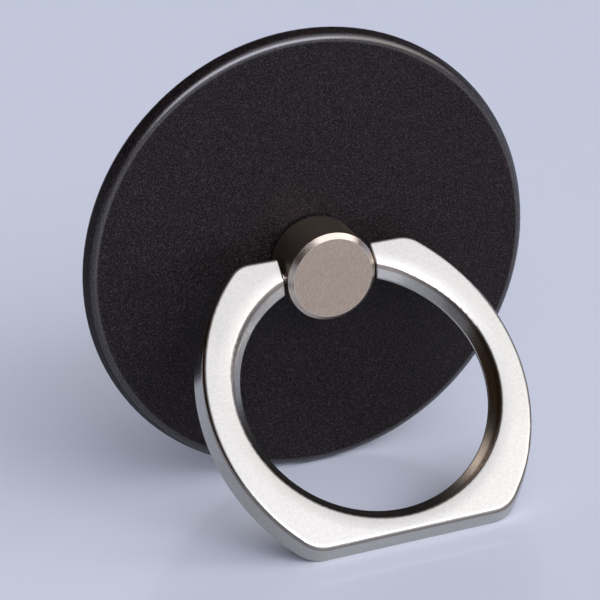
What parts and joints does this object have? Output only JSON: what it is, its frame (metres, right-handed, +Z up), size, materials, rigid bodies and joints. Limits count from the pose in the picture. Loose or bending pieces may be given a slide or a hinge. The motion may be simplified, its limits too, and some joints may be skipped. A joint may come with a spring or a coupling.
{
  "type": "phone ring holder",
  "caption": "Round stick-on plate with a swivelling post and a hinged finger ring that also folds out as a phone stand.",
  "frame": {"origin": "on the table, under the middle of the standing holder", "axes": "+Z up; +X along the ring's hinge; the ring stands in front of the plate, towards -Y"},
  "size_m": [0.04, 0.0244, 0.0396],
  "materials": {
    "black_coating": "matte",
    "foam_tape": "matte",
    "black_plastic": "matte",
    "spring_steel": "satin",
    "satin_nickel": "satin"
  },
  "bodies": {
    "base": {"base_plate": "black_coating", "adhesive_pad": "foam_tape", "swivel_bush": "black_plastic", "disc_spring": "spring_steel"},
    "post": {"swivel_post": "satin_nickel", "retaining_washer": "spring_steel", "hinge_pin": "spring_steel"},
    "ring": {"finger_ring": "satin_nickel"}
  },
  "joints": [
    {"name": "post_swivel", "type": "hinge", "parent": "base", "child": "post", "pos_m": [0, 0.0068, 0.01966], "axis": [0, -0.99, -0.141], "continuous": true},
    {"name": "ring_hinge", "type": "hinge", "parent": "post", "child": "ring", "pos_m": [0, 0.00373, 0.01922], "axis": [-1, 0, 0], "range_deg": [-53.3, 137.7]}
  ]
}
